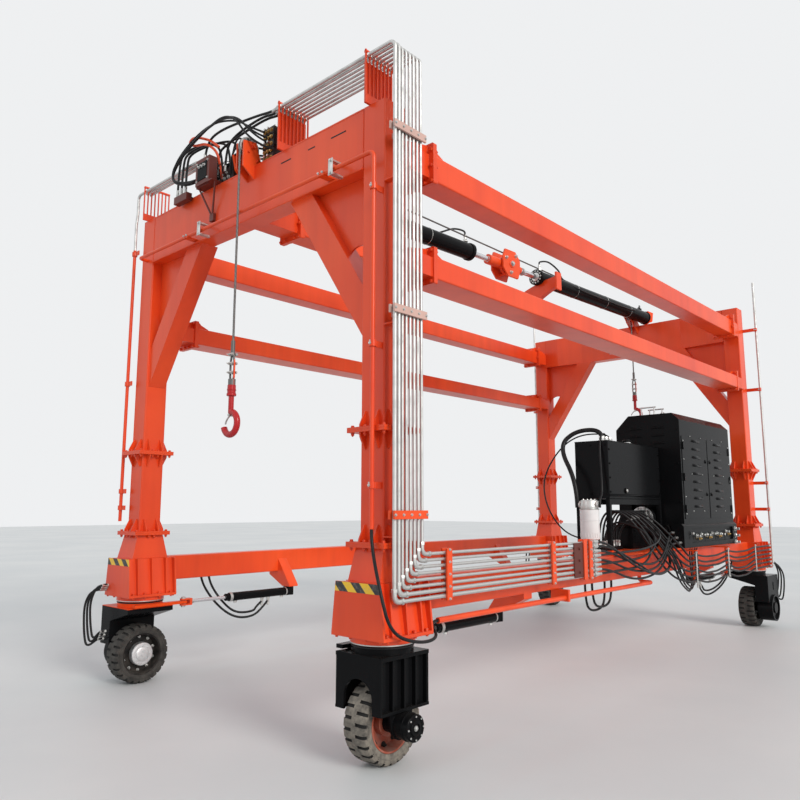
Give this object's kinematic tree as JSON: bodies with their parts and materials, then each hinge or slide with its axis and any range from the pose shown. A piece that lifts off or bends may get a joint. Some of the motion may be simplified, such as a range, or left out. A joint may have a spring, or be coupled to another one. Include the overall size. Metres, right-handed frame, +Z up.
{
  "type": "straddle carrier",
  "caption": "Open portal straddle carrier: box legs on steered wheels, side beams, hydraulic pipe banks, power pack and hoist hooks.",
  "frame": {"origin": "on the floor in the middle between the four wheels", "axes": "+Z up, Y along the travel direction with the front portal towards -Y, X across the machine with the power pack on +X"},
  "size_m": [3.874, 8.0645, 5.0607],
  "materials": {
    "orange_paint": "satin enamel over steel plate",
    "black_paint": "gloss black enamel",
    "tyre_rubber": "dusty solid rubber",
    "rim_paint": "satin black with grey hub cap",
    "chrome_rod": "hard chromed piston rod",
    "zinc_pipe": "zinc plated hydraulic pipe",
    "hose_rubber": "black rubber hose",
    "rope_steel": "greased wire rope",
    "hook_red": "red enamel",
    "filter_white": "white enamel"
  },
  "bodies": {
    "frame": {"beam_pipes": "zinc_pipe", "comb_racks": "orange_paint", "conduits": "orange_paint", "engine": "black_paint", "front_hoses": "hose_rubber", "front_portal_beam": "orange_paint", "haunch_braces": "orange_paint", "hoist_rope_front": "rope_steel", "hoist_rope_rear": "rope_steel", "leg_base_front_left": "orange_paint", "leg_base_front_right": "orange_paint", "leg_base_rear_left": "orange_paint", "leg_base_rear_right": "orange_paint", "leg_pipes": "zinc_pipe", "lift_barrels": "black_paint", "lift_block": "orange_paint", "mid_columns": "orange_paint", "mid_side_beam_left": "orange_paint", "mid_side_beam_right": "orange_paint", "middle_beam": "orange_paint", "oil_filter": "filter_white", "pack_enclosure": "black_paint", "pack_hoses": "hose_rubber", "pack_tray": "orange_paint", "pipe_clamps": "orange_paint", "rear_portal_beam": "orange_paint", "side_pipes": "zinc_pipe", "sill_left": "orange_paint", "sill_pipes": "zinc_pipe", "sill_right": "orange_paint", "tank": "black_paint", "upper_column_front_left": "orange_paint", "upper_column_front_right": "orange_paint", "upper_column_rear_left": "orange_paint", "upper_column_rear_right": "orange_paint", "upper_side_beam_left": "orange_paint", "upper_side_beam_right": "orange_paint", "valve_station": "black_paint"},
    "fork_front_right_body": {"fork_front_right": "black_paint"},
    "wheel_front_right": {"tyre_front_right": "tyre_rubber", "rim_front_right": "rim_paint"},
    "cylinder_front_right": {"steer_barrel_front_right": "black_paint"},
    "rod_front_right": {"steer_rod_front_right": "chrome_rod"},
    "fork_front_left_body": {"fork_front_left": "black_paint"},
    "wheel_front_left": {"tyre_front_left": "tyre_rubber", "rim_front_left": "rim_paint"},
    "cylinder_front_left": {"steer_barrel_front_left": "black_paint"},
    "rod_front_left": {"steer_rod_front_left": "chrome_rod"},
    "fork_rear_left_body": {"fork_rear_left": "black_paint"},
    "wheel_rear_left": {"tyre_rear_left": "tyre_rubber", "rim_rear_left": "rim_paint"},
    "cylinder_rear_left": {"steer_barrel_rear_left": "black_paint"},
    "rod_rear_left": {"steer_rod_rear_left": "chrome_rod"},
    "fork_rear_right_body": {"fork_rear_right": "black_paint"},
    "wheel_rear_right": {"tyre_rear_right": "tyre_rubber", "rim_rear_right": "rim_paint"},
    "cylinder_rear_right": {"steer_barrel_rear_right": "black_paint"},
    "rod_rear_right": {"steer_rod_rear_right": "chrome_rod"},
    "hook_front_body": {"hook_front": "hook_red"},
    "hook_rear_body": {"hook_rear": "hook_red"}
  },
  "joints": [
    {"name": "steer_front_right", "type": "hinge", "parent": "frame", "child": "fork_front_right_body", "pos_m": [1.615, -3.75, 0.745], "axis": [0, 0, 1], "range_deg": [-25, 25]},
    {"name": "roll_front_right", "type": "hinge", "parent": "fork_front_right_body", "child": "wheel_front_right", "pos_m": [1.615, -3.75, 0.2675], "axis": [1, 0, 0], "continuous": true},
    {"name": "swing_front_right", "type": "hinge", "parent": "frame", "child": "cylinder_front_right", "pos_m": [1.393, -2.1, 0.725], "axis": [0, 0, 1], "range_deg": [-6.5, 6.5]},
    {"name": "stroke_front_right", "type": "slide", "parent": "cylinder_front_right", "child": "rod_front_right", "axis": [0, 1, 0], "range_m": [-0.1, 0.1]},
    {"name": "steer_front_left", "type": "hinge", "parent": "frame", "child": "fork_front_left_body", "pos_m": [-1.615, -3.75, 0.745], "axis": [0, 0, 1], "range_deg": [-25, 25]},
    {"name": "roll_front_left", "type": "hinge", "parent": "fork_front_left_body", "child": "wheel_front_left", "pos_m": [-1.615, -3.75, 0.2675], "axis": [1, 0, 0], "continuous": true},
    {"name": "swing_front_left", "type": "hinge", "parent": "frame", "child": "cylinder_front_left", "pos_m": [-1.393, -2.1, 0.725], "axis": [0, 0, 1], "range_deg": [-6.5, 6.5]},
    {"name": "stroke_front_left", "type": "slide", "parent": "cylinder_front_left", "child": "rod_front_left", "axis": [0, 1, 0], "range_m": [-0.1, 0.1]},
    {"name": "steer_rear_left", "type": "hinge", "parent": "frame", "child": "fork_rear_left_body", "pos_m": [-1.615, 3.75, 0.745], "axis": [0, 0, 1], "range_deg": [-25, 25]},
    {"name": "roll_rear_left", "type": "hinge", "parent": "fork_rear_left_body", "child": "wheel_rear_left", "pos_m": [-1.615, 3.75, 0.2675], "axis": [1, 0, 0], "continuous": true},
    {"name": "swing_rear_left", "type": "hinge", "parent": "frame", "child": "cylinder_rear_left", "pos_m": [-1.393, 2.1, 0.725], "axis": [0, 0, 1], "range_deg": [-6.5, 6.5]},
    {"name": "stroke_rear_left", "type": "slide", "parent": "cylinder_rear_left", "child": "rod_rear_left", "axis": [0, 1, 0], "range_m": [-0.1, 0.1]},
    {"name": "steer_rear_right", "type": "hinge", "parent": "frame", "child": "fork_rear_right_body", "pos_m": [1.615, 3.75, 0.745], "axis": [0, 0, 1], "range_deg": [-25, 25]},
    {"name": "roll_rear_right", "type": "hinge", "parent": "fork_rear_right_body", "child": "wheel_rear_right", "pos_m": [1.615, 3.75, 0.2675], "axis": [1, 0, 0], "continuous": true},
    {"name": "swing_rear_right", "type": "hinge", "parent": "frame", "child": "cylinder_rear_right", "pos_m": [1.393, 2.1, 0.725], "axis": [0, 0, 1], "range_deg": [-6.5, 6.5]},
    {"name": "stroke_rear_right", "type": "slide", "parent": "cylinder_rear_right", "child": "rod_rear_right", "axis": [0, 1, 0], "range_m": [-0.1, 0.1]},
    {"name": "swivel_front", "type": "hinge", "parent": "frame", "child": "hook_front_body", "pos_m": [0.12, -3.98, 2.6], "axis": [0, 0, 1], "continuous": true},
    {"name": "swivel_rear", "type": "hinge", "parent": "frame", "child": "hook_rear_body", "pos_m": [0.12, 3.58, 3.38], "axis": [0, 0, 1], "continuous": true}
  ],
  "couplings": [
    {"joint": "swing_front_right", "follows": "steer_front_right", "ratio": -0.25},
    {"joint": "stroke_front_right", "follows": "steer_front_right", "m_per_rad": -0.222},
    {"joint": "swing_front_left", "follows": "steer_front_left", "ratio": -0.25},
    {"joint": "stroke_front_left", "follows": "steer_front_left", "m_per_rad": 0.222},
    {"joint": "swing_rear_left", "follows": "steer_rear_left", "ratio": -0.25},
    {"joint": "stroke_rear_left", "follows": "steer_rear_left", "m_per_rad": 0.222},
    {"joint": "swing_rear_right", "follows": "steer_rear_right", "ratio": -0.25},
    {"joint": "stroke_rear_right", "follows": "steer_rear_right", "m_per_rad": -0.222}
  ]
}
